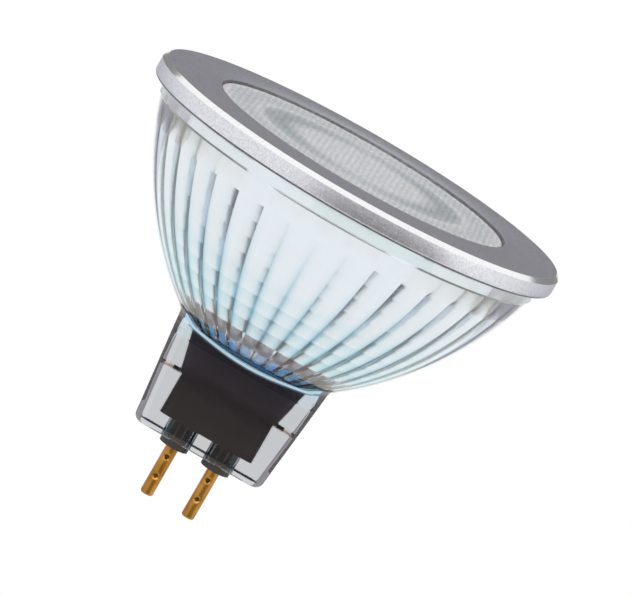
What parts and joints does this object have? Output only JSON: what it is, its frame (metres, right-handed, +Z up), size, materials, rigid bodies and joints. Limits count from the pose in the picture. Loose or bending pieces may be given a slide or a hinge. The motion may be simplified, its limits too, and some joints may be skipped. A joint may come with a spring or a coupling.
{
  "type": "led spotlight bulb",
  "caption": "Low-voltage LED reflector lamp: fluted glass bowl with a square stem, metal trim ring, recessed clear lens and brass plug-in pins at the foot.",
  "frame": {"origin": "midway between the two contact pins, on the base plane where the housing's collars end", "axes": "+Z up the optical axis towards the lens; the pins stand side by side along X; -Y is the front of the stem"},
  "size_m": [0.0507, 0.0506, 0.0449],
  "materials": {
    "coated_glass": "clear pressed glass, thin reflecting coat on the fluted inside",
    "ring_metal": "satin, fine grain",
    "adhesive": "clear silicone",
    "lens_acrylic": "clear moulded acrylic",
    "sink_metal": "plain pressed",
    "gasket_blue": "blue silicone",
    "pad": "soft grey pad",
    "board_white": "white solder mask on aluminium",
    "light_source": "phosphor under clear silicone",
    "screw_steel": "bright steel",
    "housing_plastic": "dark moulded",
    "board_green": "solder mask on glass laminate",
    "moulding_black": "moulded epoxy",
    "ferrite": "sintered ferrite",
    "ceramic_tan": "fired ceramic",
    "can_metal": "drawn can",
    "lead_red": "insulated wire",
    "lead_black": "insulated wire",
    "pin_brass": "bright drawn brass"
  },
  "bodies": {
    "root": {"glass_reflector": "coated_glass", "trim_ring": "ring_metal", "rim_adhesive": "adhesive", "front_lens": "lens_acrylic", "heat_sink": "sink_metal", "base_gasket": "gasket_blue", "thermal_pad": "pad", "led_board": "board_white", "led_package": "light_source", "board_screws": "screw_steel", "driver_housing": "housing_plastic", "housing_lid": "housing_plastic", "driver_board": "board_green", "bridge_rectifier": "moulding_black", "controller_chip": "moulding_black", "power_inductor": "ferrite", "ceramic_capacitor": "ceramic_tan", "sense_resistors": "moulding_black", "smoothing_capacitor": "can_metal", "positive_lead": "lead_red", "negative_lead": "lead_black", "contact_pin_left": "pin_brass", "contact_pin_right": "pin_brass"}
  },
  "joints": []
}
